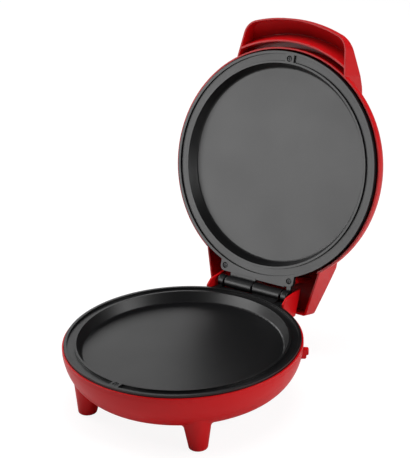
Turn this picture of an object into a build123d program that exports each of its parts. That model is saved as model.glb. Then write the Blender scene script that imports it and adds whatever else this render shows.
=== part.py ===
"""Electric pizza maker: two hinged round cooking plates in a moulded bowl and lid.

Millimetres. The origin is the centre of the lower plate's dish floor, +X runs along the
hinge, +Y points to the hinge at the back and +Z is up. Lid pieces are drawn closed and
then swung open about the hinge, which is how the machine stands here.
"""

import os
from math import cos, radians, sin, sqrt, tan

from build123d import *

# Cooking plates, cast; the lower one carries its rear flange lower
plate_radius = 165.0
dish_floor_inset = 24.0
dish_mouth_inset = 17.5
dish_depth = 14.8
dish_corner_radius = 3.0
inner_lip_inset = 14.3
groove_outer_inset = 4.0
groove_depth = 3.0
plate_wall = 2.8
plate_skirt_height = 6.8
closed_plate_gap = 0.4
front_pad_width = 15.0

# Hinge
hinge_reach = 18.0
lid_open_angle = 108.0
barrel_radius = 8.7
barrel_half_length = 59.3
barrel_end_round = 1.5
knuckle_seam = 48.5
knuckle_gap = 1.8
pin_radius = 3.0
pin_running_clearance = 0.05
pin_overhang = 1.5
flange_reach = 4.0
flange_step = 1.5
web_height = 4.5
web_drop = 4.0
lower_flange_drop = 6.0
lower_flange_reach = 9.0

# Screws that hold the plates
screw_head_radius = 4.0
screw_head_height = 2.2
screw_shank_radius = 1.95
screw_shank_length = 12.0
screw_hole_clearance = 0.25
screw_sink = 2.5
screw_tip_room = 1.0
front_screw_inset = 10.0
ear_screw_x = 55.1
ear_screw_inset = 4.4
ear_radius = 7.7

# Base housing
housing_wall = 2.8
housing_gap = 0.4
bowl_rim_overhang = 3.2
bowl_rim_drop = 4.0
bowl_height = 60.9
bowl_side_pull = 16.2
bowl_shoulder_inset = 8.7
bowl_floor_inset = 52.3
crease_drop = 8.0
crease_depth = 0.4
boss_radius = 5.0
boss_bore_clearance = 0.05

# Legs
leg_height = 31.0
foot_radius = 13.0
foot_round = 2.5
front_foot_inset = 29.2
front_leg_top_inset = 35.2
front_leg_angle = 42.3
rear_foot_inset = 3.2
rear_leg_top_inset = 23.2
rear_leg_angle = 14.0
front_leg_top_radius = 23.5
rear_leg_top_radius = 20.0
leg_top_height = 60.0
leg_fillet = 5.0
foot_pad_radius = 8.0
foot_pad_thickness = 2.4
foot_pad_stand = 1.0
foot_pad_gap = 0.1

# Hinge cheeks, the trough between them and the ribs that stop the open lid
cheek_outer_x = 66.5
cheek_wall = 3.0
cheek_rise = 6.2
cheek_rear_reach = 21.7
cheek_heel_reach = 5.8
cheek_root_inset = 12.5
cheek_front_inset = 8.0
cheek_front_slant = 10.0
cheek_front_rise = 6.5
trough_drop = 30.6
trough_lip_drop = 5.0
stop_rib_x = 36.0
stop_rib_width = 7.0
stop_rib_height = 5.5
stop_gap = 0.4

# Cord entry and rear lugs
gland_angle = 137.0
gland_height = -20.0
gland_seat_inset = 8.2
gland_wall = 6.5
gland_boss_radius = 10.5
gland_clearance = 0.1
gland_bore_radius = 3.6
gland_body_radius = 6.0
gland_flange_radius = 8.6
gland_inner_flange_radius = 7.6
gland_flange_thickness = 2.0
lug_angle = 30.5
lug_height = -9.6
lug_width = 9.0
lug_rise = 8.4
lug_fall = 5.6
lug_reach = 6.5
lug_step = 3.2
lug_round = 2.8
lug_root_depth = 6.0

# Lid cover
lid_wall = 2.6
lid_rim_overhang = 5.0
lid_rim_rise = 6.0
lid_rim_height = 6.0
dome_rise = 58.0
dome_shoulder_pull = 20.0
dome_shoulder_inset = 32.0
dome_crown_inset = 80.0
hood_rise = 67.0
hood_knee_inset = 19.0
hood_knee_round = 40.0
hood_half_width = 91.0
hood_front_half_width = 81.0
hood_shoulder_inset = 24.0
hood_front_reach = 42.0
hood_front_nose = 20.0
hood_front_corner = 25.0
hood_end_overrun = 12.0
hood_draft_height = 70.0
hood_rear_shoulder_inset = 33.0
hood_rear_shoulder_half_width = 99.0
hood_rear_shoulder_draft = 6.0
hood_rear_end_reach = 25.7
hood_rear_end_half_width = 81.6
hood_rear_end_draft = 1.6
hood_rear_knee_inset = 36.0
hood_rear_nose = 43.0
hood_rear_corner = 5.0
rear_cut_start_rise = 10.0
rear_cut_end_rise = 18.4
rib_inner_gap = 8.0
rib_wall = 3.0
rib_lean = 17.0
grip_gap_depth = 26.0

# Heating elements and what holds them
element_radius = 3.2
element_ring_radius = 104.0
element_gap_angle = 34.0
element_bend_radius = 9.0
element_tail = 17.0
element_play = 0.1
terminal_pin_radius = 1.2
terminal_pin_length = 6.0
track_rib_width = 2.6
track_rib_height = 4.6
strap_width = 9.0
strap_thickness = 1.0
strap_angles = (35.0, 145.0, 270.0)
clamp_screw_radius = 1.9
clamp_screw_head_radius = 3.6
clamp_screw_head_height = 2.0
clamp_screw_length = 5.5
clamp_post_radius = 4.4
clamp_post_gap = 1.0

# Reflector pans
reflector_thickness = 0.6
reflector_floor_radius = 118.0
reflector_radius = 126.0
reflector_flange_radius = 132.0
reflector_depth = 19.0
reflector_post_ring = 62.0
reflector_post_radius = 4.6
reflector_post_count = 3
reflector_window_radius = 20.0
reflector_tail_hole_radius = 5.5

# Thermostats, fuse and terminal block
thermostat_radius = 8.2
thermostat_height = 10.0
thermostat_flange_radius = 9.8
thermostat_flange_thickness = 1.2
thermostat_pad_radius = 10.0
thermostat_pad_height = 1.5
thermostat_offset = 30.0
thermostat_strap_reach = 15.0
thermostat_strap_width = 8.0
thermostat_post_radius = 3.6
fuse_radius = 2.4
fuse_length = 26.0
fuse_offset = -34.0
fuse_clip_width = 6.0
fuse_clip_wall = 0.8
fuse_clip_foot = 5.0
fuse_play = 0.05
terminal_length = 34.0
terminal_width = 17.0
terminal_height = 15.0
terminal_offset = 84.0
terminal_lift = 4.0
terminal_boss_radius = 5.5
terminal_bore_depth = 5.0
terminal_way_radius = 2.6
terminal_way_pitch = 11.0

# Lamps in the lid
lamp_spacing = 26.0
lamp_distance = 108.0
lens_radius = 5.0
lens_flange_radius = 7.0
lens_rise = 1.6
lens_flange_thickness = 1.6
lamp_clearance = 0.15
bulb_radius = 2.6
bulb_length = 13.0
carrier_length = 62.0
carrier_width = 14.0
carrier_thickness = 2.0
carrier_drop = 18.5
carrier_post_radius = 3.4

# Radii and distances that follow from the plate's size
dish_floor_radius = plate_radius - dish_floor_inset
dish_mouth_radius = plate_radius - dish_mouth_inset
inner_lip_radius = plate_radius - inner_lip_inset
groove_outer_radius = plate_radius - groove_outer_inset
front_screw_distance = plate_radius - front_screw_inset
ear_screw_y = plate_radius - ear_screw_inset
flange_edge = plate_radius + flange_reach
lower_flange_edge = plate_radius + lower_flange_reach
hinge_distance = plate_radius + hinge_reach
bowl_rim_radius = plate_radius + bowl_rim_overhang
bowl_shoulder_radius = bowl_rim_radius - bowl_shoulder_inset
bowl_floor_radius = bowl_rim_radius - bowl_floor_inset
front_foot_circle_radius = bowl_rim_radius - front_foot_inset
front_leg_top_circle_radius = bowl_rim_radius - front_leg_top_inset
rear_foot_circle_radius = bowl_rim_radius - rear_foot_inset
rear_leg_top_circle_radius = bowl_rim_radius - rear_leg_top_inset
cheek_root_y = plate_radius - cheek_root_inset
cheek_front_y = plate_radius - cheek_front_inset
gland_seat_radius = bowl_rim_radius - gland_seat_inset
lid_rim_radius = plate_radius + lid_rim_overhang
dome_shoulder_radius = lid_rim_radius - dome_shoulder_inset
dome_crown_radius = lid_rim_radius - dome_crown_inset
hood_knee_radius = lid_rim_radius - hood_knee_inset
hood_shoulder_distance = lid_rim_radius - hood_shoulder_inset
hood_front_radius = lid_rim_radius + hood_front_reach
hood_rear_shoulder_y = lid_rim_radius - hood_rear_shoulder_inset
hood_rear_knee_y = lid_rim_radius - hood_rear_knee_inset
hood_rear_end_y = hinge_distance + hood_rear_end_reach
rib_inner_radius = lid_rim_radius + rib_inner_gap

# Heights and places that follow
lip_z = dish_depth
parting_z = lip_z + closed_plate_gap / 2
plate_underside_z = -plate_wall
groove_floor_z = lip_z - groove_depth
pad_underside_z = groove_floor_z - plate_wall
pad_thickness = lip_z - pad_underside_z
skirt_bottom_z = lip_z - plate_skirt_height
rim_top_z = parting_z - bowl_rim_drop
bowl_bottom_z = rim_top_z - bowl_height
bowl_floor_top_z = bowl_bottom_z + housing_wall
table_z = bowl_bottom_z - leg_height
foot_bottom_z = table_z + foot_pad_stand
lid_rim_z = parting_z + lid_rim_rise
hood_top_z = parting_z + hood_rise
bore_radius = pin_radius + pin_running_clearance
screw_hole_radius = screw_shank_radius + screw_hole_clearance
boss_bore_radius = screw_shank_radius + boss_bore_clearance
screw_seat_z = lip_z - screw_sink
element_z = plate_underside_z - element_radius - element_play
element_bottom_z = element_z - element_radius
clamp_ring = (
    element_ring_radius
    - element_radius
    - element_play
    - track_rib_width
    - clamp_post_gap
    - clamp_post_radius
)
clamp_bore_radius = clamp_screw_radius + boss_bore_clearance
clamp_hole_radius = clamp_screw_radius + screw_hole_clearance
reflector_bottom_z = plate_underside_z - reflector_depth
thermostat_top_z = plate_underside_z - thermostat_pad_height
thermostat_strap_z = thermostat_top_z - thermostat_flange_thickness
hinge_axis = Axis((0, hinge_distance, parting_z), (1, 0, 0))
flip_axis = Axis((0, 0, parting_z), (0, 1, 0))
front_screw = (0, -front_screw_distance)
ear_screws = ((-ear_screw_x, ear_screw_y), (ear_screw_x, ear_screw_y))
reflector_post_step = 360.0 / reflector_post_count
reflector_post_angles = [
    90.0 + reflector_post_step * (n + 0.5) for n in range(reflector_post_count)
]
front_leg = (front_foot_circle_radius, front_leg_top_circle_radius, front_leg_top_radius)
rear_leg = (rear_foot_circle_radius, rear_leg_top_circle_radius, rear_leg_top_radius)
leg_places = (
    (front_leg_angle, *front_leg),
    (-front_leg_angle, *front_leg),
    (180 - rear_leg_angle, *rear_leg),
    (180 + rear_leg_angle, *rear_leg),
)
trough_floor_z = parting_z - trough_drop
wide = 400.0


# Shapes used by several pieces

def turned(outline):
    """Solid of revolution about Z of a closed outline of (radius, height) pairs."""
    return revolve(Plane.XZ * make_face(Polyline(*outline, close=True)), Axis.Z)


def ring(inner, outer, low, high):
    """Flat ring or tube about Z."""
    return turned([(inner, low), (outer, low), (outer, high), (inner, high)])


def block(x, y, z):
    """Box between three (low, high) pairs."""
    size = [pair[1] - pair[0] for pair in (x, y, z)]
    middle = [(pair[0] + pair[1]) / 2 for pair in (x, y, z)]
    return Pos(*middle) * Box(*size)


def rod(radius, low, high, x=0.0, y=0.0):
    """Upright cylinder between two heights."""
    return Pos(x, y, (low + high) / 2) * Cylinder(radius, high - low)


def rod_along_x(radius, left, right, y, z):
    """Cylinder along the hinge direction."""
    return Pos((left + right) / 2, y, z) * Rot(0, 90, 0) * Cylinder(radius, right - left)


def inset_polygon(points, wall):
    """Open polygon with every leg moved to its left by the wall and met again."""
    moved = []
    for start, end in zip(points, points[1:]):
        run = (end[0] - start[0], end[1] - start[1])
        length = sqrt(run[0] ** 2 + run[1] ** 2)
        corner = (start[0] - run[1] / length * wall, start[1] + run[0] / length * wall)
        moved.append((corner, run))
    inner = [moved[0][0]]
    for (a, run_a), (b, run_b) in zip(moved, moved[1:]):
        cross = run_a[0] * run_b[1] - run_a[1] * run_b[0]
        share = ((b[0] - a[0]) * run_b[1] - (b[1] - a[1]) * run_b[0]) / cross
        inner.append((a[0] + share * run_a[0], a[1] + share * run_a[1]))
    last, run = moved[-1]
    inner.append((last[0] + run[0], last[1] + run[1]))
    return inner


def turned_over(shape):
    """The same piece in the other half: turned over about Y in the parting plane."""
    return shape.rotate(flip_axis, 180)


def opened(shape):
    """A lid piece swung back from closed to the open stop."""
    return shape.rotate(hinge_axis, -lid_open_angle)


def around(shape, angles):
    """Copies of a shape at angles about Z."""
    return [shape.rotate(Axis.Z, angle) for angle in angles]


def each(shapes, change):
    """The same change made to every shape of a group."""
    return [change(shape) for shape in shapes]


# Cooking plates

def dish_body():
    """Dish, lips, drip groove and skirt, turned in one profile."""
    slope = (dish_mouth_radius - dish_floor_radius) / dish_depth
    thick = plate_wall * sqrt(1 + slope**2)
    outline = [
        (0, 0),
        (dish_floor_radius, 0),
        (dish_mouth_radius, lip_z),
        (inner_lip_radius, lip_z),
        (inner_lip_radius, groove_floor_z),
        (groove_outer_radius, groove_floor_z),
        (groove_outer_radius, lip_z),
        (plate_radius, lip_z),
        (plate_radius, skirt_bottom_z),
        (plate_radius - plate_wall, skirt_bottom_z),
        (plate_radius - plate_wall, pad_underside_z),
        (dish_floor_radius + slope * pad_underside_z + thick, pad_underside_z),
        (dish_floor_radius + slope * plate_underside_z + thick, plate_underside_z),
        (0, plate_underside_z),
    ]
    face = make_face(Polyline(*outline, close=True))
    corners = face.vertices().sort_by_distance((dish_floor_radius, 0))
    face = fillet(corners[0], dish_corner_radius)
    return revolve(Plane.XZ * face, Axis.Z)


def knuckle(left, right):
    """One hinge knuckle with the web that carries it."""
    barrel = rod_along_x(barrel_radius, left, right, hinge_distance, parting_z)
    barrel = fillet(barrel.edges().filter_by(GeomType.CIRCLE), barrel_end_round)
    web = block(
        (left + barrel_end_round, right - barrel_end_round),
        (flange_edge - ear_radius, hinge_distance),
        (lip_z - web_drop - web_height, lip_z - web_drop),
    )
    return barrel + web


def rear_flange(drop, edge_y):
    """Flat tab from the dish to the hinge, its corners rounded about the ear screws."""
    half = ear_screw_x + ear_radius
    depth = (pad_underside_z - drop, lip_z - drop)
    flange = block((-half, half), (0, edge_y), depth)
    flange = fillet(flange.edges().filter_by(Axis.Z).group_by(Axis.Y)[-1], ear_radius)
    flange -= rod(plate_radius - plate_wall / 2, -wide, wide)
    step_y = (edge_y - ear_radius, edge_y + flange_step)
    return flange + block((-knuckle_seam, 0), step_y, depth)


def element_track():
    """Two low ribs under the dish that hold the heating element between them."""
    inner = element_ring_radius - element_radius - element_play
    outer = element_ring_radius + element_radius + element_play
    low = plate_underside_z - track_rib_height
    ribs = ring(inner - track_rib_width, inner, low, plate_underside_z)
    return ribs + ring(outer, outer + track_rib_width, low, plate_underside_z)


def plate_posts():
    """Posts under the dish for the straps, the reflector and the thermostat."""
    strap_post = rod(clamp_post_radius, element_bottom_z, plate_underside_z, clamp_ring)
    reflector_post = rod(
        reflector_post_radius,
        reflector_bottom_z + reflector_thickness,
        plate_underside_z,
        reflector_post_ring,
    )
    posts = around(strap_post, strap_angles)
    posts += around(reflector_post, reflector_post_angles)
    posts.append(
        rod(thermostat_pad_radius, thermostat_top_z, plate_underside_z, 0, thermostat_offset)
    )
    for x in (-thermostat_strap_reach, thermostat_strap_reach):
        posts.append(
            rod(thermostat_post_radius, thermostat_strap_z, plate_underside_z, x, thermostat_offset)
        )
    return posts


def plate_post_bores():
    """Blind screw holes in those posts."""
    depth = clamp_screw_length + screw_tip_room / 2
    strap_bore = rod(
        clamp_bore_radius, element_bottom_z - 1, element_bottom_z - strap_thickness + depth, clamp_ring
    )
    post_end = reflector_bottom_z + reflector_thickness
    reflector_bore = rod(clamp_bore_radius, post_end - 1, post_end + depth, reflector_post_ring)
    bores = around(strap_bore, strap_angles)
    bores += around(reflector_bore, reflector_post_angles)
    return bores


def screw_places(drop):
    """Places of the three plate screws and how far each one's seat lies below the lip's."""
    return [(*front_screw, 0), *[(x, y, drop) for x, y in ear_screws]]


def cast_plate(drop, flange_y):
    """One plate: dish, rear flange with screw ears, two knuckles and the posts below."""
    plate = dish_body()
    pad = block(
        (-front_pad_width / 2, front_pad_width / 2),
        (-groove_outer_radius - 1, -inner_lip_radius + 1),
        (pad_underside_z, lip_z),
    )
    plate += [rear_flange(drop, flange_y), pad, element_track(), *plate_posts()]
    half_gap = knuckle_gap / 2
    plate += knuckle(half_gap, knuckle_seam - half_gap)
    plate += knuckle(-barrel_half_length, -knuckle_seam - half_gap)
    plate -= rod_along_x(bore_radius, -wide, wide, hinge_distance, parting_z)
    plate -= plate_post_bores()
    for x, y in ear_screws:
        plate -= rod(boss_radius + housing_gap, -1, pad_underside_z - drop, x, y)
    sunk_radius = screw_head_radius + screw_hole_clearance
    for x, y, sunk in screw_places(drop):
        plate -= rod(screw_hole_radius, -1, wide, x, y)
        plate -= rod(sunk_radius, screw_seat_z - sunk, wide, x, y)
    return plate


# Screws

def pan_screw(radius, length, head_radius, head_height):
    """Pan head screw with its head standing on z = 0 and its shank below."""
    head = Pos(0, 0, head_height / 2) * Cylinder(head_radius, head_height)
    head = fillet(head.edges().group_by(Axis.Z)[-1], head_height * 0.45)
    return head + Pos(0, 0, -length / 2) * Cylinder(radius, length)


def clamp_screw():
    """Short screw for straps and reflectors, its head below and its shank upwards."""
    screw = pan_screw(
        clamp_screw_radius, clamp_screw_length, clamp_screw_head_radius, clamp_screw_head_height
    )
    return Rot(180, 0, 0) * screw


def plate_screws(drop):
    """The three screws that fasten one plate."""
    screw = pan_screw(
        screw_shank_radius, screw_shank_length, screw_head_radius, screw_head_height
    )
    return [Pos(x, y, screw_seat_z - sunk) * screw for x, y, sunk in screw_places(drop)]


# Base housing

def curve_halves(pulls):
    """Pull points of the two halves of a curve, found by taking midpoints again and again."""
    lower = [pulls[0]]
    upper = [pulls[-1]]
    while len(pulls) > 1:
        pulls = [((a[0] + b[0]) / 2, (a[1] + b[1]) / 2) for a, b in zip(pulls, pulls[1:])]
        lower.append(pulls[0])
        upper.append(pulls[-1])
    return lower, upper[::-1]


def bowl_solid(wall):
    """Bowl of revolution, inside the outer surface by the wall."""
    polygon = [
        (bowl_floor_radius, bowl_bottom_z),
        (bowl_shoulder_radius, bowl_bottom_z),
        (bowl_rim_radius, rim_top_z - bowl_side_pull),
        (bowl_rim_radius, rim_top_z),
    ]
    pulls = inset_polygon(polygon, wall)
    floor = pulls[0]
    rim = pulls[-1]
    lower_half, upper_half = curve_halves(pulls)
    edges = [
        Line((0, floor[1]), floor),
        Bezier(*lower_half),
        Bezier(*upper_half),
        Polyline(rim, (0, rim[1]), (0, floor[1])),
    ]
    return revolve(Plane.XZ * make_face(edges), Axis.Z)


def leg_cone(angle, foot_circle, top_circle, top_radius, wall):
    """Oblique cone whose outer face stays steep while its inner face spreads."""
    small = Pos(0, -foot_circle, foot_bottom_z + wall) * Circle(foot_radius - wall)
    top_z = foot_bottom_z + leg_top_height
    large = Pos(0, -top_circle, top_z) * Circle(top_radius - wall)
    return loft([small, large]).rotate(Axis.Z, angle)


def across_hinge(outline, half_width):
    """Outline of (y, z) pairs drawn out along the hinge to both sides."""
    face = Plane.YZ * make_face(Polyline(*outline, close=True))
    return Pos(-half_width, 0, 0) * extrude(face, 2 * half_width, dir=(1, 0, 0))


def cheek_block(half_width, inset, front_y):
    """Side outline of the hinge cheeks carried across the hinge.

    With an inset it is the room between them, open at the top and at the bowl's side.
    """
    path = [
        (front_y, trough_floor_z),
        (hinge_distance + cheek_heel_reach, trough_floor_z),
        (hinge_distance + cheek_rear_reach, parting_z + cheek_rise),
    ]
    below = inset_polygon(path, inset)
    if inset:
        above = [(below[-1][0], wide), (front_y, wide)]
    else:
        above = [
            (cheek_front_y + cheek_front_slant, parting_z + cheek_front_rise),
            (cheek_front_y, parting_z),
            (cheek_front_y, pad_underside_z - housing_gap),
            (front_y, pad_underside_z - housing_gap),
        ]
    return across_hinge(below + above, half_width)


def stop_rib(x):
    """Short rib behind the trough that the open lid's rear wall leans on."""
    turn = radians(lid_open_angle)
    reach = hood_rear_end_y - hinge_distance
    wall_y = hinge_distance + reach * cos(turn) + rear_cut_end_rise * sin(turn)
    return block(
        (x - stop_rib_width / 2, x + stop_rib_width / 2),
        (hinge_distance + cheek_heel_reach, wall_y - stop_gap),
        (trough_floor_z, trough_floor_z + stop_rib_height),
    )


def rear_lug():
    """Small moulded lug on the bowl's rear flank: a rounded nose over a smaller step."""
    root = bowl_rim_radius - lug_root_depth
    tip = bowl_rim_radius + lug_reach
    across = (-lug_width / 2, lug_width / 2)
    nose = block((root, tip), across, (0, lug_rise))
    nose = fillet(nose.edges().filter_by(Axis.Y).group_by(Axis.X)[-1], lug_round)
    step = block((root, tip - lug_step), across, (-lug_fall, lug_round))
    low_edge = step.edges().filter_by(Axis.Y).group_by(Axis.X)[-1].sort_by(Axis.Z)[0]
    step = fillet(low_edge, lug_round)
    return (Pos(0, 0, lug_height) * (nose + step)).rotate(Axis.Z, lug_angle)


def along_gland(radius, start, end):
    """Cylinder on the cord entry's axis, its ends counted outwards from the seat."""
    turn = radians(gland_angle)
    seat = (gland_seat_radius * cos(turn), gland_seat_radius * sin(turn), gland_height)
    across = Plane(origin=seat, x_dir=(0, 0, 1), z_dir=(cos(turn), sin(turn), 0))
    return across * (Pos(0, 0, (start + end) / 2) * Cylinder(radius, end - start))


def is_level(edge):
    """True where an edge lies in one level plane."""
    box = edge.bounding_box()
    return box.max.Z - box.min.Z < 0.5


def legs_and_bowl():
    """Outside of the bowl with its four legs blended in and their soles rounded."""
    outer = bowl_solid(0)
    for place in leg_places:
        outer += leg_cone(*place, 0)
    outer = fillet(outer.edges().filter_by(lambda e: not is_level(e)), leg_fillet)
    soles = outer.edges().filter_by(lambda e: e.bounding_box().max.Z < foot_bottom_z + 1)
    outer = fillet(soles, foot_round)
    crease = ring(
        bowl_rim_radius - crease_depth, bowl_rim_radius + 1, rim_top_z - crease_drop, wide
    )
    return outer - crease


def housing_room():
    """Everything inside the base housing that is open."""
    room = bowl_solid(housing_wall)
    for place in leg_places:
        room += leg_cone(*place, housing_wall)
    half = cheek_outer_x - cheek_wall
    room += cheek_block(half, housing_wall, cheek_root_y - housing_wall * 3)
    room += block((-half, half), (hinge_distance, wide), (parting_z - trough_lip_drop, wide))
    return room


def base_housing():
    """Moulded bowl with four legs, the hinge cheeks and the screw bosses."""
    lug = rear_lug()
    housing = legs_and_bowl()
    housing += cheek_block(cheek_outer_x, 0, cheek_root_y)
    housing += [lug, mirror(lug, Plane.YZ)]
    housing -= housing_room()
    housing += [stop_rib(-stop_rib_x), stop_rib(stop_rib_x)]
    housing += along_gland(gland_boss_radius, -gland_wall, gland_wall) & bowl_solid(0)
    housing += along_gland(gland_boss_radius, -gland_wall, 0)
    housing -= along_gland(gland_flange_radius + gland_clearance, 0, wide / 4)
    housing -= along_gland(gland_body_radius + gland_clearance, -wide / 4, wide / 4)
    front_boss = rod(boss_radius, bowl_bottom_z, pad_underside_z, *front_screw)
    housing += front_boss & bowl_solid(housing_wall / 2)
    for x, y in ear_screws:
        ear_underside_z = pad_underside_z - lower_flange_drop
        housing += rod(boss_radius, trough_floor_z, ear_underside_z, x, y)
    bore_low = screw_seat_z - screw_shank_length - screw_tip_room
    for x, y, sunk in screw_places(lower_flange_drop):
        housing -= rod(boss_bore_radius, bore_low - sunk, wide, x, y)
    terminal_seat_z = bowl_floor_top_z + terminal_lift
    housing += rod(
        terminal_boss_radius, bowl_bottom_z + 1, terminal_seat_z, 0, terminal_offset
    )
    housing -= rod(
        boss_bore_radius, terminal_seat_z - terminal_bore_depth, 0, 0, terminal_offset
    )
    seat_radius = foot_pad_radius + foot_pad_gap
    for angle, foot_circle, *top in leg_places:
        seat = rod(seat_radius, table_z, table_z + foot_pad_thickness, 0, -foot_circle)
        housing -= seat.rotate(Axis.Z, angle)
    return housing


def foot_pads():
    """Four rubber pads let into the soles."""
    pad = rod(foot_pad_radius, table_z, table_z + foot_pad_thickness)
    pad = fillet(pad.edges().group_by(Axis.Z)[0], foot_pad_stand * 0.6)
    return [
        (Pos(0, -foot_circle, 0) * pad).rotate(Axis.Z, angle)
        for angle, foot_circle, *top in leg_places
    ]


def cord_gland():
    """Rubber bush in the cord entry, with a flange on each side of the wall."""
    gland = along_gland(gland_flange_radius, 0, gland_flange_thickness)
    gland += along_gland(gland_body_radius, -gland_wall, 0)
    gland += along_gland(
        gland_inner_flange_radius, -gland_wall - gland_flange_thickness, -gland_wall
    )
    return gland - along_gland(gland_bore_radius, -wide / 4, wide / 4)


def hinge_pin():
    """Steel pin through all four knuckles, with rounded ends."""
    half = barrel_half_length + pin_overhang
    pin = rod_along_x(pin_radius, -half, half, hinge_distance, parting_z)
    return fillet(pin.edges().filter_by(GeomType.CIRCLE), pin_overhang * 0.6)


# Lid cover

def dome_solid(wall):
    """Round cover of revolution, inside the outer surface by the wall."""
    polygon = [
        (lid_rim_radius, lid_rim_z + lid_rim_height),
        (lid_rim_radius, lid_rim_z + lid_rim_height + dome_shoulder_pull),
        (dome_shoulder_radius, parting_z + dome_rise),
        (dome_crown_radius, parting_z + dome_rise),
    ]
    pulls = inset_polygon(polygon, wall)
    rim = pulls[0]
    crown = pulls[-1]
    edges = [
        Polyline((0, lid_rim_z), (rim[0], lid_rim_z), rim),
        Bezier(*pulls),
        Polyline(crown, (0, crown[1]), (0, lid_rim_z)),
    ]
    return revolve(Plane.XZ * make_face(edges), Axis.Z)


def hood_profile(end, knee, nose, low_z, wall):
    """Side outline under the hood's top: level, round the knee, then down to the nose."""
    fall = (hood_rise - nose) / (end - knee)
    polygon = [
        (end + hood_end_overrun, parting_z + nose - hood_end_overrun * fall),
        (knee, hood_top_z),
        (0, hood_top_z),
    ]
    tip, bend, crown = inset_polygon(polygon, wall)
    outline = [(0, low_z), (tip[0], low_z), tip, bend, (0, crown[1])]
    face = make_face(Polyline(*outline, close=True))
    return fillet(face.vertices().sort_by_distance(bend)[0], hood_knee_round - wall)


def strip_plan(sides):
    """Plan of the hood strip from the (x, y) points of its right side."""
    return make_face(Polyline(*sides, *[(-x, y) for x, y in reversed(sides)], close=True))


def hood_front(wall, low_z):
    """Front half of the hood strip: straight walls under a turned, sloping top."""
    radius = hood_front_radius
    sides = [
        (hood_half_width - wall, 0),
        (hood_half_width - wall, -hood_shoulder_distance),
        (hood_front_half_width - wall, -radius),
    ]
    plan = strip_plan(sides) & Circle(radius - wall)
    plan = fillet(plan.vertices().group_by(Axis.Y)[0], hood_front_corner - wall)
    profile = hood_profile(radius, hood_knee_radius, hood_front_nose, low_z, wall)
    return Pos(0, 0, low_z) * extrude(plan, wide) & revolve(Plane.XZ * profile, Axis.Z)


def hood_rear(wall):
    """Rear half of the hood strip: drafted walls that narrow to the hinge cover's end."""
    levels = []
    for rise, share in ((0, 0), (hood_draft_height, 1)):
        shoulder = hood_rear_shoulder_half_width - hood_rear_shoulder_draft * share
        pull = hood_rear_end_draft * share + wall
        sides = [
            (hood_half_width - wall, 0),
            (shoulder - wall, hood_rear_shoulder_y),
            (hood_rear_end_half_width - pull, hood_rear_end_y - pull),
        ]
        plan = strip_plan(sides)
        plan = fillet(plan.vertices().group_by(Axis.Y)[-1], hood_rear_corner - wall)
        levels.append(Pos(0, 0, parting_z + rise) * plan)
    profile = Plane.YZ * hood_profile(
        hood_rear_end_y, hood_rear_knee_y, hood_rear_nose, parting_z - 1, wall
    )
    roof = Pos(-wide, 0, 0) * extrude(profile, 2 * wide, dir=(1, 0, 0))
    return loft(levels, ruled=True) & roof


def rear_underside():
    """Everything below the slanting lower edge of the lid's rear cover."""
    start_z = parting_z + rear_cut_start_rise
    end_z = parting_z + rear_cut_end_rise
    outline = [
        (-wide, -wide),
        (-wide, start_z),
        (hood_rear_shoulder_y, start_z),
        (hood_rear_end_y, end_z),
        (wide, end_z),
        (wide, -wide),
    ]
    return across_hinge(outline, wide)


def grip_rib_cone(inset):
    """Cone inside the outer face of the rib behind the finger grip."""
    low = rib_inner_radius + rib_wall - inset
    rise = hood_top_z - lid_rim_z
    high = low + rise * tan(radians(rib_lean))
    return turned(
        [(0, lid_rim_z), (low, lid_rim_z), (high, hood_top_z), (0, hood_top_z)]
    ) + rod(low, lid_rim_z - 2, lid_rim_z)


def lid_outside():
    """Dome with the hood strip over it, from the grip at the front to the hinge cover."""
    rear = hood_rear(0) - rear_underside()
    return hood_front(0, lid_rim_z) + rear + dome_solid(0)


def lid_room():
    """Everything inside the lid cover that is open."""
    below = lid_rim_z - 1
    room = dome_solid(lid_wall)
    room += rod(lid_rim_radius - lid_wall, below, lid_rim_z)
    front = hood_front(lid_wall, below)
    gap_roof_z = lid_rim_z + grip_gap_depth
    core = rod(lid_rim_radius - lid_wall, below, hood_top_z)
    core += grip_rib_cone(rib_wall) & rod(wide / 2, gap_roof_z + lid_wall, hood_top_z)
    room += front & core
    room += hood_rear(lid_wall)
    pocket = front - grip_rib_cone(0)
    gap = front & ring(lid_rim_radius, rib_inner_radius, below, gap_roof_z)
    return [room, pocket, gap]


def lid_cover():
    """Moulded lid: dome, hood, finger grip, hinge cover and screw bosses."""
    outside = lid_outside()
    cover = outside - lid_room()
    boss_low = 2 * parting_z - pad_underside_z
    bore_high = 2 * parting_z - screw_seat_z + screw_shank_length + screw_tip_room
    for x, y in (front_screw, *ear_screws):
        cover += rod(boss_radius, boss_low, hood_top_z, x, y) & outside
        cover -= rod(boss_bore_radius, 0, bore_high, x, y)
    post_low = hood_top_z - lid_wall - carrier_drop
    post_x = carrier_length / 2 - carrier_post_radius
    for x in (-post_x, post_x):
        cover += rod(carrier_post_radius, post_low, hood_top_z - 1, x, -lamp_distance)
        cover -= rod(clamp_bore_radius, 0, post_low + clamp_screw_length, x, -lamp_distance)
    for x in (-lamp_spacing / 2, lamp_spacing / 2):
        cover -= rod(lens_radius + lamp_clearance, post_low, wide, x, -lamp_distance)
    return cover


# Heating elements

def element_end(side):
    """Bend and tail at one end of the element, turned down to its terminal pin."""
    turn = radians(90 + side * element_gap_angle / 2)
    outward = Vector(cos(turn), sin(turn), 0)
    along = Vector(sin(turn), -cos(turn), 0) * side
    start = outward * element_ring_radius + Vector(0, 0, element_z)
    centre = start - Vector(0, 0, element_bend_radius)
    section = Plane(origin=start, x_dir=outward, z_dir=along) * Circle(element_radius)
    bend = revolve(section, Axis(centre, outward * side), 90)
    foot = centre + along * element_bend_radius
    low = foot.Z - element_tail
    tail = rod(element_radius, low, foot.Z, foot.X, foot.Y)
    pin = rod(terminal_pin_radius, low - terminal_pin_length, low, foot.X, foot.Y)
    return bend + tail + pin


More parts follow.
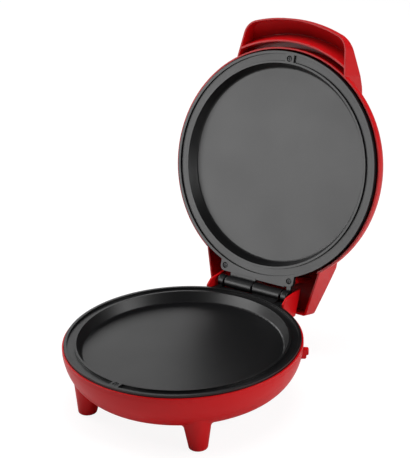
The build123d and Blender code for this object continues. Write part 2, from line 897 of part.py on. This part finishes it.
def heating_element():
    """Sheathed ring element, open at the rear, with both ends turned down."""
    section = Plane.XZ * (Pos(element_ring_radius, element_z) * Circle(element_radius))
    loop = revolve(section, Axis.Z, 360 - element_gap_angle)
    loop = loop.rotate(Axis.Z, 90 + element_gap_angle / 2)
    return loop + element_end(1) + element_end(-1)


def element_straps():
    """Flat straps that press the element to the plate, one on each post."""
    reach = element_ring_radius + element_radius
    low = element_bottom_z - strap_thickness
    strap = block(
        (clamp_ring, reach), (-strap_width / 2, strap_width / 2), (low, element_bottom_z)
    )
    strap += rod(strap_width / 2, low, element_bottom_z, clamp_ring)
    strap -= rod(clamp_hole_radius, low - 1, 0, clamp_ring)
    return around(strap, strap_angles)


def strap_screws():
    """Screws of the element straps and of the thermostat's strap."""
    screw = Pos(clamp_ring, 0, element_bottom_z - strap_thickness) * clamp_screw()
    return around(screw, strap_angles)


# Reflectors

def reflector():
    """Thin spun pan under the element, its flange seated on the plate."""
    flange_z = plate_underside_z - reflector_thickness
    path = [
        (0, reflector_bottom_z),
        (reflector_floor_radius, reflector_bottom_z),
        (reflector_radius, flange_z),
        (reflector_flange_radius, flange_z),
    ]
    pan = turned(path + inset_polygon(path, reflector_thickness)[::-1])
    pan -= rod(reflector_window_radius, -wide, wide, 0, thermostat_offset)
    for post in around(rod(clamp_hole_radius, -wide, wide, reflector_post_ring), reflector_post_angles):
        pan -= post
    for side in (1, -1):
        turn = radians(90 + side * element_gap_angle / 2)
        x = element_ring_radius * cos(turn) + side * element_bend_radius * sin(turn)
        y = element_ring_radius * sin(turn) - side * element_bend_radius * cos(turn)
        pan -= rod(reflector_tail_hole_radius, -wide, wide, x, y)
    return pan


def reflector_screws():
    """Screws that hold the reflector to its posts."""
    screw = Pos(reflector_post_ring, 0, reflector_bottom_z) * clamp_screw()
    return around(screw, reflector_post_angles)


# Thermostat and fuse

def thermostat():
    """Snap-disc thermostat on its pad, with two blade terminals."""
    body = rod(thermostat_radius, thermostat_top_z - thermostat_height, thermostat_top_z)
    body += rod(thermostat_flange_radius, thermostat_strap_z, thermostat_top_z)
    low = thermostat_top_z - thermostat_height
    for x in (-4.5, 4.5):
        body += block((x - 0.4, x + 0.4), (-3.2, 3.2), (low - 8, low + 1))
    return Pos(0, thermostat_offset, 0) * body


def thermostat_strap():
    """Spring strap over the thermostat's flange, screwed down beside it."""
    low = thermostat_strap_z - strap_thickness
    reach = thermostat_strap_reach
    half = thermostat_strap_width / 2
    strap = block((-reach, reach), (-half, half), (low, thermostat_strap_z))
    strap += rod(thermostat_flange_radius, low, thermostat_strap_z)
    for x in (-reach, reach):
        strap += rod(half, low, thermostat_strap_z, x)
        strap -= rod(clamp_hole_radius, low - 1, 0, x)
    strap -= rod(thermostat_radius + lamp_clearance, low - 1, 0)
    return Pos(0, thermostat_offset, 0) * strap


def thermal_fuse():
    """One-shot fuse lying under the reflector, with its two lead stubs."""
    z = reflector_bottom_z - fuse_radius - fuse_play
    half = fuse_length / 2
    fuse = rod_along_x(fuse_radius, -half, half, fuse_offset, z)
    return fuse + rod_along_x(0.6, -half - 9, half + 9, fuse_offset, z)


def fuse_clip():
    """Folded clip that holds the fuse to the reflector."""
    z = reflector_bottom_z - fuse_radius - fuse_play
    inner = fuse_radius + fuse_play
    outer = inner + fuse_clip_wall
    half = fuse_clip_width / 2
    clip = rod_along_x(outer, -half, half, fuse_offset, z)
    clip += block(
        (-half, half), (fuse_offset - outer, fuse_offset + outer), (z, reflector_bottom_z)
    )
    reach = outer + fuse_clip_foot
    clip += block(
        (-half, half),
        (fuse_offset - reach, fuse_offset + reach),
        (reflector_bottom_z - fuse_clip_wall, reflector_bottom_z),
    )
    clip -= rod_along_x(inner, -half - 1, half + 1, fuse_offset, z)
    clip -= block(
        (-half - 1, half + 1), (fuse_offset - inner, fuse_offset + inner), (z, 0)
    )
    return clip


def terminal_block():
    """Ceramic connector on the bowl's floor, with three ways through and a fixing hole."""
    low = bowl_floor_top_z + terminal_lift
    half = terminal_length / 2
    deep = terminal_width / 2
    body = block((-half, half), (-deep, deep), (low, low + terminal_height))
    body = fillet(body.edges().filter_by(Axis.Z), 2.5)
    for x in (-terminal_way_pitch, terminal_way_pitch):
        way = Pos(x, 0, low + terminal_height * 0.45) * Rot(90, 0, 0)
        body -= way * Cylinder(terminal_way_radius, terminal_width + 2)
    body -= rod(screw_hole_radius, low - 1, 0)
    body -= rod(screw_head_radius + 0.5, low + terminal_height / 2, 0)
    return Pos(0, terminal_offset, 0) * body


def terminal_screw():
    """Screw that holds the connector to its boss."""
    seat_z = bowl_floor_top_z + terminal_lift + terminal_height / 2
    screw = pan_screw(
        screw_shank_radius, screw_shank_length, screw_head_radius, screw_head_height
    )
    return Pos(0, terminal_offset, seat_z) * screw


# Lamps

def lamp_lens(x):
    """Domed lens pushed up through the hood from inside, held by its flange."""
    under = hood_top_z - lid_wall
    lens = rod(lens_radius, under - lens_flange_thickness, hood_top_z + lens_rise)
    lens = fillet(lens.edges().group_by(Axis.Z)[-1], lens_rise * 0.8)
    lens += rod(lens_flange_radius, under - lens_flange_thickness, under)
    return Pos(x, -lamp_distance, 0) * lens


def lamp_carrier():
    """Small board under the two lenses that holds the bulbs."""
    top = hood_top_z - lid_wall - carrier_drop
    half = carrier_length / 2
    board = block((-half, half), (-carrier_width / 2, carrier_width / 2), (top - carrier_thickness, top))
    board = fillet(board.edges().filter_by(Axis.Z), 3.0)
    post_x = half - carrier_post_radius
    for x in (-post_x, post_x):
        board -= rod(clamp_hole_radius, 0, wide, x)
    return Pos(0, -lamp_distance, 0) * board


def carrier_screws():
    """The board's two screws."""
    post_x = carrier_length / 2 - carrier_post_radius
    seat_z = hood_top_z - lid_wall - carrier_drop - carrier_thickness
    return [Pos(x, -lamp_distance, seat_z) * clamp_screw() for x in (-post_x, post_x)]


def lamp_bulbs():
    """Two neon bulbs standing on the board, one under each lens."""
    low = hood_top_z - lid_wall - carrier_drop
    bulb = rod(bulb_radius, low, low + bulb_length)
    bulb = fillet(bulb.edges().group_by(Axis.Z)[-1], bulb_radius * 0.8)
    return [Pos(x, -lamp_distance, 0) * bulb for x in (-lamp_spacing / 2, lamp_spacing / 2)]


def save(name, shape):
    """Write one named piece, or one group of separate solids."""
    if isinstance(shape, list):
        shape = Compound(children=[solid for piece in shape for solid in piece.solids()])
    export_step(shape, os.path.join("parts", name + ".step"))


def save_both(name, shapes):
    """Write a piece under the lower plate, and the same piece turned over in the lid."""
    save("lower_" + name, shapes)
    save("upper_" + name, each(shapes, lambda shape: opened(turned_over(shape))))


os.makedirs("parts", exist_ok=True)

save("lower_plate", cast_plate(lower_flange_drop, lower_flange_edge))
save("upper_plate", opened(turned_over(cast_plate(0, flange_edge))))
save("lower_plate_screws", plate_screws(lower_flange_drop))
save("upper_plate_screws", each(plate_screws(0), lambda shape: opened(turned_over(shape))))
save_both("heating_element", [heating_element()])
save_both("element_straps", element_straps())
save_both("strap_screws", strap_screws())
save_both("reflector", [reflector()])
save_both("reflector_screws", reflector_screws())
save_both("thermostat", [thermostat()])
save_both("thermostat_strap", [thermostat_strap()])

save("base_housing", base_housing())
save("foot_pads", foot_pads())
save("cord_gland", cord_gland())
save("hinge_pin", hinge_pin())
save("thermal_fuse", thermal_fuse())
save("fuse_clip", fuse_clip())
save("terminal_block", terminal_block())
save("terminal_screw", terminal_screw())

save("lid_cover", opened(lid_cover()))
save("power_lamp_lens", opened(lamp_lens(-lamp_spacing / 2)))
save("ready_lamp_lens", opened(lamp_lens(lamp_spacing / 2)))
save("lamp_carrier", opened(lamp_carrier()))
save("carrier_screws", each(carrier_screws(), opened))
save("lamp_bulbs", each(lamp_bulbs(), opened))
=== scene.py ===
# %% [markdown]
# A pizza maker standing open: a red moulded bowl and lid around two dark cooking plates.
# The imported model is loaded as a fixed frame, so every measure below is in metres and in the
# model's own axes: X along the hinge, Y to the hinge at the back, Z up, and the origin in the
# middle of the lower dish.

# %% Load the frame
from math import cos, pi, radians, sin

import bpy
import numpy as np
from mathutils import Matrix, Vector


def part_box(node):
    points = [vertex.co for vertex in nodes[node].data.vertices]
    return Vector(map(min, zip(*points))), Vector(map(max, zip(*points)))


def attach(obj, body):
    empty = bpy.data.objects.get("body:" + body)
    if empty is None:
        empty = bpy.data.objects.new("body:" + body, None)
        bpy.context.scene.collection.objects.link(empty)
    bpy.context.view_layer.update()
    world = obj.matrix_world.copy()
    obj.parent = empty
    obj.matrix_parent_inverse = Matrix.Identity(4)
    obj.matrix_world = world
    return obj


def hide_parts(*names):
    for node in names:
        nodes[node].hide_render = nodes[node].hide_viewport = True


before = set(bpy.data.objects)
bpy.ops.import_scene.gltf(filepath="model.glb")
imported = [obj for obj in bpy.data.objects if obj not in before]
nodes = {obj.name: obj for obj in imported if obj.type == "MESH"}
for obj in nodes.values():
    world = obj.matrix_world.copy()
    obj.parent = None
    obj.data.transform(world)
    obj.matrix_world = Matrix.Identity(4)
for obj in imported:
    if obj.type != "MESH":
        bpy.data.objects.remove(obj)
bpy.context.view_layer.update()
scene = bpy.context.scene

# %% [markdown]
# Sizes that the looks need. They repeat what the solids have: where the plate screws sit, how
# far the lid leans back, and where the hinge line runs. The rear ears of the lower plate lie
# lower than its lip, and so do their screws. The upper plate is the lower one's twin, turned over
# in the plane where they meet and then swung back with the lid.

# %% Measures shared by several cells
MM = 0.001
HINGE = Vector((0, 183 * MM, 15 * MM))
LID_ANGLE = radians(108)
SCREW_PLACES = np.array([(0.0, -155.0), (-55.1, 160.6), (55.1, 160.6)]) * MM
SCREW_SEAT = 12.3 * MM
LOWERED_EARS = np.array([0.0, 6.0, 6.0]) * MM
SCREW_HEAD_RADIUS, SCREW_HEAD_HEIGHT = 4.0 * MM, 2.2 * MM
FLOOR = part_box("foot_pads")[0][2]
OPEN_LID = (
    Matrix.Translation(HINGE)
    @ Matrix.Rotation(-LID_ANGLE, 4, "X")
    @ Matrix.Translation(-HINGE)
)
TURN_OVER = (
    Matrix.Translation((0, 0, HINGE.z))
    @ Matrix.Rotation(pi, 4, "Y")
    @ Matrix.Translation((0, 0, -HINGE.z))
)
print("floor at", round(FLOOR, 4))

# %% [markdown]
# The camera comes first, because everything after it is compared with the photograph. Its
# bearing, height and small roll were worked out from the ellipses of the two dishes; the lens
# follows from the size of the lower plate in the picture.

# %% Camera
AZIMUTH, ELEVATION, ROLL = radians(35.08), radians(24.03), radians(-1.93)
AIM = Vector((44.2, 0, 190.1)) * MM
DISTANCE = 2.502
FOCAL_PIXELS = 1871
LONGER_SIDE = 458

back = Vector((
    sin(AZIMUTH) * cos(ELEVATION),
    -cos(AZIMUTH) * cos(ELEVATION),
    sin(ELEVATION),
))
right = Vector((cos(AZIMUTH), sin(AZIMUTH), 0))
up = back.cross(right)
turned_right = right * cos(ROLL) + up * sin(ROLL)
turned_up = up * cos(ROLL) - right * sin(ROLL)
lens = bpy.data.cameras.new("camera")
lens.lens = FOCAL_PIXELS / LONGER_SIDE * lens.sensor_width
camera = bpy.data.objects.new("camera", lens)
camera.matrix_world = Matrix.Translation(AIM + back * DISTANCE) @ Matrix(
    (turned_right, turned_up, back)
).transposed().to_4x4()
scene.collection.objects.link(camera)
scene.camera = camera
print("lens", round(lens.lens, 1), "mm")

# %% [markdown]
# The plate screws are small pan heads with a cross-shaped drive. Each is a surface of revolution:
# one profile from the top of the dome down to the seat and back to the middle, turned round. The
# drive is pressed into it afterwards, by lowering the points that lie within one of two bars.
# The new heads stand for the plain screws of the solids and stay on the same seats.

# %% Pan heads with a cross drive
CROSS_HALF_WIDTH, CROSS_REACH = 0.42 * MM, 2.3 * MM
CROSS_SLOPE, CROSS_DEPTH = 0.2 * MM, 1.3 * MM


def head_profile(rings):
    """Radius and height of a pan head from the middle of its top to the middle of its seat.

    r = R t, and z = h (1 - a t^2 - b t^16), so the dome is flat and turns down at the edge; a
    short side and the flat seat follow.
    """
    dome_fall, edge_fall, edge_power = 0.22, 0.5, 16
    t = np.linspace(0, 1, rings)
    top = np.column_stack([t, 1 - dome_fall * t**2 - edge_fall * t**edge_power])
    side = np.array([(1.0, 0.1), (0.97, 0.0), (0.0, 0.0)])
    return np.vstack([top, side]) * (SCREW_HEAD_RADIUS, SCREW_HEAD_HEIGHT)


def pressed_cross(x, y):
    """Share of the drive's full depth: 1 where |x| or |y| is under the bars' half width.

    Both bars end at the same reach, and every edge slopes over a short distance.
    """
    near, far = np.minimum(abs(x), abs(y)), np.maximum(abs(x), abs(y))
    across = np.clip((CROSS_HALF_WIDTH - near) / CROSS_SLOPE + 0.5, 0, 1)
    along = np.clip((CROSS_REACH - far) / CROSS_SLOPE + 0.5, 0, 1)
    return across * along


def pan_heads(name, seats, turn, body, node, rings=44, around=128):
    """Heads on the seats: (r cos a, r sin a, z), lowered in the cross, then turned with the lid."""
    profile = head_profile(rings)
    angle = np.linspace(0, 2 * pi, around, endpoint=False)
    radius, height = profile[1:-1].T
    x = radius[:, None] * np.cos(angle)
    y = radius[:, None] * np.sin(angle)
    z = np.repeat(height[:, None], around, 1)
    top = slice(0, rings - 1)
    z[top] -= CROSS_DEPTH * pressed_cross(x[top], y[top])
    ends = np.array([(0, 0, profile[0, 1] - CROSS_DEPTH), (0, 0, 0)])
    points = np.vstack([ends, np.column_stack([x.ravel(), y.ravel(), z.ravel()])])
    index = 2 + np.arange(x.size).reshape(x.shape)
    later = np.roll(index, -1, 1)
    caps = [(0, a, b) for a, b in zip(index[0], later[0])]
    caps += [(1, b, a) for a, b in zip(index[-1], later[-1])]
    walls = np.stack([index[:-1], index[1:], later[1:], later[:-1]], -1).reshape(-1, 4)
    mesh = bpy.data.meshes.new(name)
    heads = np.vstack([points + seat for seat in seats])
    faces = [
        [int(corner) + len(points) * copy for corner in face]
        for copy in range(len(seats)) for face in [*caps, *walls]
    ]
    mesh.from_pydata(heads.tolist(), [], faces)
    mesh.transform(turn)
    mesh.shade_smooth()
    piece = bpy.data.objects.new(name, mesh)
    scene.collection.objects.link(piece)
    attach(piece, body)
    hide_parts(node)
    print(name, len(faces), "faces")


def seats_lowered_by(depths):
    """Three points on the screws' axes, at the height that each head stands on."""
    return np.column_stack([SCREW_PLACES, SCREW_SEAT - depths])


pan_heads(
    "lower_screw_heads", seats_lowered_by(LOWERED_EARS), Matrix.Identity(4),
    "base", "lower_plate_screws",
)
pan_heads(
    "upper_screw_heads", seats_lowered_by(np.zeros(3)), OPEN_LID @ TURN_OVER,
    "lid", "upper_plate_screws",
)

# %% [markdown]
# Shader sums are easier to read as Python than as a web of boxes. `Amount` wraps one output of
# a node; adding or multiplying it adds a Math node. `Finish` is a material with its main
# shader: plain numbers are set on it, its `node` method adds any other node from a type, its
# settings and its inputs, and `main` feeds a changing value into one of the shader's inputs.

# %% Amounts and finishes
class Amount:
    """A number that changes over a surface; sums on it become Math nodes."""

    def __init__(self, tree, socket):
        self.tree = tree
        self.socket = socket

    def join(self, operation, *values):
        box = self.tree.nodes.new("ShaderNodeMath")
        box.operation = operation
        for socket, value in zip(box.inputs, values):
            if isinstance(value, Amount):
                self.tree.links.new(value.socket, socket)
            else:
                socket.default_value = value
        return Amount(self.tree, box.outputs[0])

    def __add__(self, other):
        return self.join("ADD", self, other)

    def __sub__(self, other):
        return self.join("SUBTRACT", self, other)

    def __rsub__(self, other):
        return self.join("SUBTRACT", other, self)

    def __mul__(self, other):
        return self.join("MULTIPLY", self, other)

    def above(self, low, high):
        """0 below low, 1 above high, and a straight slope between them."""
        share = (self - low) * (1 / (high - low))
        return share.join("MINIMUM", share.join("MAXIMUM", share, 0), 1)

    __radd__ = __add__
    __rmul__ = __mul__


class Finish:
    """A material and its main shader, with plain numbers set on the shader itself."""

    def __init__(self, name, **plain):
        self.material = bpy.data.materials.new(name)
        self.material.use_nodes = True
        self.tree = self.material.node_tree
        self.shader = self.tree.nodes["Principled BSDF"]
        for socket, value in plain.items():
            self.shader.inputs[socket.replace("_", " ")].default_value = value
        self.place = self.node("ShaderNodeTexCoord").outputs["Object"]

    def node(self, kind, settings=None, inputs=None):
        box = self.tree.nodes.new(kind)
        for name, value in (settings or {}).items():
            setattr(box, name, value)
        for name, value in (inputs or {}).items():
            self.feed(box.inputs[name], value)
        return box

    def feed(self, socket, value):
        if isinstance(value, Amount):
            value = value.socket
        if isinstance(value, bpy.types.NodeSocket):
            self.tree.links.new(value, socket)
        else:
            socket.default_value = value

    def main(self, name, value):
        self.feed(self.shader.inputs[name], value)

    def noise(self, scale, detail=3.0, rough=0.5, stretch=None):
        place = self.place
        if stretch:
            mapping = self.node("ShaderNodeMapping", None, {"Vector": place, "Scale": stretch})
            place = mapping.outputs[0]
        box = self.node(
            "ShaderNodeTexNoise",
            None,
            {"Vector": place, "Scale": scale, "Detail": detail, "Roughness": rough},
        )
        return Amount(self.tree, box.outputs[0])

    def between(self, share, first, second):
        mix = self.node(
            "ShaderNodeMix", {"data_type": "RGBA"}, {0: share, 6: (*first, 1), 7: (*second, 1)}
        )
        return mix.outputs[2]

    def relief(self, height, depth, edge=0.0):
        """Bump of a height between 0 and 1, over edges that are rounded by `edge` metres."""
        bump = self.node(
            "ShaderNodeBump", None, {"Height": height, "Distance": depth, "Strength": 1.0}
        )
        if edge:
            rounded = self.node("ShaderNodeBevel", {"samples": 6}, {"Radius": edge})
            self.feed(bump.inputs["Normal"], rounded.outputs[0])
        self.main("Normal", bump.outputs[0])

    def put_on(self, *names):
        for name in names:
            target = nodes[name] if name in nodes else bpy.data.objects[name]
            target.data.materials.clear()
            target.data.materials.append(self.material)
        print(self.material.name, "on", len(names), "pieces")


# %% [markdown]
# The bowl and the lid are injection moulded in red plastic. The mould is spark finished, so the
# skin is satin: a fine grain that softens reflections, over a broad unevenness from cooling.
# The colour drifts a little with the thickness of the wall.

# %% Red moulded plastic
shell = Finish("red_moulding", IOR=1.5, Specular_IOR_Level=0.22)
drift = shell.noise(9, 2)
grain = shell.noise(2600, 2)
uneven = shell.noise(38, 2)
shell.main("Base Color", shell.between(drift, (0.56, 0.003, 0.005), (0.66, 0.005, 0.008)))
shell.main("Roughness", 0.30 + uneven * 0.08 + grain * 0.06)
shell.relief(grain * 0.6 + uneven * 0.4, 0.00004, 0.0012)
shell.put_on("base_housing", "lid_cover")

# %% [markdown]
# The cooking plates are aluminium castings under a dark non-stick coat. The coat is sprayed and
# baked: satin, slightly pebbled, with tiny paler flecks.

# %% Non-stick coating
coating = Finish("non_stick_coating", IOR=1.5)
flecks = coating.noise(1900, 2, 0.6).above(0.60, 0.72)
pebble = coating.noise(700, 3)
patches = coating.noise(14, 3)
coating.main("Base Color", coating.between(flecks, (0.004, 0.004, 0.0044), (0.02, 0.02, 0.021)))
coating.main("Roughness", 0.34 + patches * 0.08 + pebble * 0.05)
coating.relief(pebble, 0.00003, 0.0006)
coating.put_on("lower_plate", "upper_plate")

# %% [markdown]
# Pin, straps and inner screws are bright steel. Steel parts this small show streaks from rolling
# or turning and slight staining, so the roughness follows a stretched noise. The plate screws are
# blackened and a little rubbed, the reflectors are bright sheet, and the elements' sheath is
# scaled by heat.

# %% Steel, sheet and sheath
steel = Finish("plated_steel", Metallic=1.0)
streaks = steel.noise(500, 3, 0.6, (1, 1, 6))
stain = steel.noise(60, 3)
steel.main("Base Color", steel.between(stain, (0.42, 0.42, 0.43), (0.58, 0.58, 0.57)))
steel.main("Roughness", 0.24 + streaks * 0.2)
steel.relief(streaks, 0.00001)
steel.put_on(
    "hinge_pin", "lower_strap_screws",
    "upper_strap_screws", "lower_reflector_screws", "upper_reflector_screws",
    "terminal_screw", "carrier_screws", "lower_element_straps", "upper_element_straps",
    "lower_thermostat_strap", "upper_thermostat_strap", "fuse_clip",
)

blackened = Finish("blackened_steel", Metallic=0.5)
rubbed = blackened.noise(900, 3, 0.6)
blackened.main("Base Color", blackened.between(rubbed, (0.012, 0.012, 0.013), (0.05, 0.05, 0.052)))
blackened.main("Roughness", 0.28 + rubbed * 0.2)
blackened.relief(rubbed, 0.00001)
blackened.put_on("lower_screw_heads", "upper_screw_heads")

sheet = Finish("bright_sheet", Metallic=1.0)
rolled = sheet.noise(220, 3, 0.6, (1, 12, 1))
sheet.main("Base Color", sheet.between(rolled, (0.68, 0.68, 0.69), (0.8, 0.8, 0.8)))
sheet.main("Roughness", 0.22 + rolled * 0.16)
sheet.relief(rolled, 0.00001)
sheet.put_on("lower_reflector", "upper_reflector", "thermal_fuse")

sheath = Finish("element_sheath", Metallic=0.8)
scale = sheath.noise(240, 4, 0.6)
sheath.main("Base Color", sheath.between(scale, (0.09, 0.08, 0.075), (0.2, 0.17, 0.15)))
sheath.main("Roughness", 0.45 + scale * 0.25)
sheath.relief(scale, 0.00003)
sheath.put_on("lower_heating_element", "upper_heating_element")

# %% [markdown]
# Rubber feet and bush, the dark heat-proof mouldings and the ceramic connector are all matt;
# they differ in colour and in the size of their grain.

# %% Rubber, dark mouldings and ceramic
rubber = Finish("black_rubber", IOR=1.5)
bloom = rubber.noise(90, 3)
pores = rubber.noise(1500, 3)
rubber.main("Base Color", rubber.between(bloom, (0.012, 0.012, 0.012), (0.03, 0.03, 0.031)))
rubber.main("Roughness", 0.62 + bloom * 0.2)
rubber.relief(pores, 0.00006, 0.0004)
rubber.put_on("foot_pads", "cord_gland")

dark = Finish("dark_moulding", IOR=1.5)
mottle = dark.noise(300, 3)
dark.main("Base Color", dark.between(mottle, (0.02, 0.02, 0.02), (0.04, 0.038, 0.035)))
dark.main("Roughness", 0.45 + mottle * 0.2)
dark.relief(mottle, 0.00003, 0.0004)
dark.put_on("lower_thermostat", "upper_thermostat", "lamp_carrier")

ceramic = Finish("fired_ceramic", IOR=1.5)
speck = ceramic.noise(420, 3)
ceramic.main("Base Color", ceramic.between(speck, (0.62, 0.58, 0.5), (0.75, 0.72, 0.66)))
ceramic.main("Roughness", 0.5 + speck * 0.25)
ceramic.relief(speck, 0.00005, 0.0004)
ceramic.put_on("terminal_block")

# %% [markdown]
# The two lamp windows are clear tinted plastic over small glass bulbs.

# %% Lamp windows and bulbs
def tinted(name, deep, pale, node):
    lens_finish = Finish(name, IOR=1.49, Transmission_Weight=0.75)
    swirl = lens_finish.noise(180, 2)
    lens_finish.main("Base Color", lens_finish.between(swirl, deep, pale))
    lens_finish.main("Roughness", 0.06 + swirl * 0.08)
    lens_finish.relief(swirl, 0.00002)
    lens_finish.put_on(node)


tinted("red_window", (0.55, 0.01, 0.01), (0.75, 0.03, 0.02), "power_lamp_lens")
tinted("green_window", (0.01, 0.42, 0.06), (0.03, 0.6, 0.1), "ready_lamp_lens")
tinted("bulb_glass", (0.85, 0.8, 0.75), (0.95, 0.93, 0.9), "lamp_bulbs")

# %% [markdown]
# The stage is a pale floor under broad soft lamps, as in a small studio. Seen by the camera, most
# of the floor's white comes from its own glow, so that the lamps can stay at a level where the
# red is lit as it is written; the rest is lit, and keeps the object's shadow.

# %% Floor
def plain_floor(half):
    """Square sheet on a grid of two parameters u and v: (u, v) times its half width."""
    u, v = np.meshgrid([-half, half], [-half, half])
    points = np.column_stack([u.ravel(), v.ravel(), np.full(4, FLOOR)])
    mesh = bpy.data.meshes.new("studio_floor")
    mesh.from_pydata(points.tolist(), [], [(0, 1, 3, 2)])
    return mesh


FLOOR_HALF, GLOW_SHARE, GLOW_STRENGTH = 8.0, 0.78, 1.16
floor = bpy.data.objects.new("studio_floor", plain_floor(FLOOR_HALF))
scene.collection.objects.link(floor)
paper = Finish("studio_paper")
fibre = paper.noise(30, 3)
paper.main("Base Color", paper.between(fibre, (0.80, 0.80, 0.80), (0.82, 0.82, 0.82)))
paper.main("Roughness", 0.9)
rays = paper.node("ShaderNodeLightPath")
seen = Amount(paper.tree, rays.outputs["Is Camera Ray"])
seen = (seen + Amount(paper.tree, rays.outputs["Is Transmission Ray"])).above(0, 1)
glow = paper.node("ShaderNodeEmission", None, {"Color": (1, 1, 1, 1), "Strength": GLOW_STRENGTH})
blend = paper.node("ShaderNodeMixShader", None, {0: seen * GLOW_SHARE})
paper.feed(blend.inputs[1], paper.shader.outputs[0])
paper.feed(blend.inputs[2], glow.outputs[0])
paper.feed(paper.tree.nodes["Material Output"].inputs["Surface"], blend.outputs[0])
floor.data.materials.append(paper.material)
print("floor of", 2 * FLOOR_HALF, "m, glowing by", GLOW_SHARE)

# %% [markdown]
# The air is dim for everything but the camera and what is seen through glass. Little light comes
# from all round, so the hollows of the lid and of the dishes go nearly black.

# %% Air
DIM_AIR = 0.10
world = bpy.data.worlds.new("studio")
scene.world = world
world.use_nodes = True
air = world.node_tree
sky = air.nodes["Background"]
paths = air.nodes.new("ShaderNodeLightPath")
direct = Amount(air, paths.outputs["Is Camera Ray"])
direct = (direct + Amount(air, paths.outputs["Is Transmission Ray"])).above(0, 1)
air.links.new((DIM_AIR + direct * (1 - DIM_AIR)).socket, sky.inputs["Strength"])
sky.inputs["Color"].default_value = (1, 1, 1, 1)
print("air at", DIM_AIR, "of full white")

# %% [markdown]
# Two cards stand where the camera sees their picture in the dishes: one in front on the left for
# the lid's even grey, and one behind on the left for the lower dish, where the dark lid cuts the
# picture off and leaves the right half black. Three soft boxes light the red.

# %% Cards and soft boxes
def lamp(name, place, aim, size, watts, matt=True, shine=True):
    """Soft box: a rectangle of light at a place, turned to look at a point.

    Without `matt` it is a card that only shows in what shines, and without `shine` its own
    picture isn't seen in the object.
    """
    light = bpy.data.lights.new(name, "AREA")
    light.shape = "RECTANGLE"
    light.size, light.size_y = size
    light.energy = watts
    box = bpy.data.objects.new(name, light)
    box.matrix_world = Matrix.Translation(place) @ (
        (Vector(place) - Vector(aim)).to_track_quat("Z", "Y").to_matrix().to_4x4()
    )
    box.visible_diffuse, box.visible_glossy = matt, shine
    scene.collection.objects.link(box)


LOW_DOWN = (0, 0.1, 0.1)
lamp("front_left_card", (-1.5, -2.1, 0.6), (0, 0.2, 0.2), (2.0, 1.6), 56, matt=False)
lamp("back_left_card", (-1.5, 1.6, 1.0), (0, 0, 0), (1.0, 1.0), 5, matt=False)
lamp("left_box", (-2.2, 0.0, 1.1), LOW_DOWN, (1.2, 1.2), 26)
lamp("right_box", (2.1, 0.3, 0.9), LOW_DOWN, (1.0, 1.2), 22)
lamp("top_box", (0, 0.2, 2.3), LOW_DOWN, (1.6, 1.6), 38, shine=False)

# %% [markdown]
# Colours are shown as they are, without a film look. Last, a small helper is defined that rounds
# the corners of a box.

# %% Colour view, boxes and end
scene.view_settings.view_transform = "Standard"


def rounded(box):
    return [[round(float(value), 5) for value in corner] for corner in box]
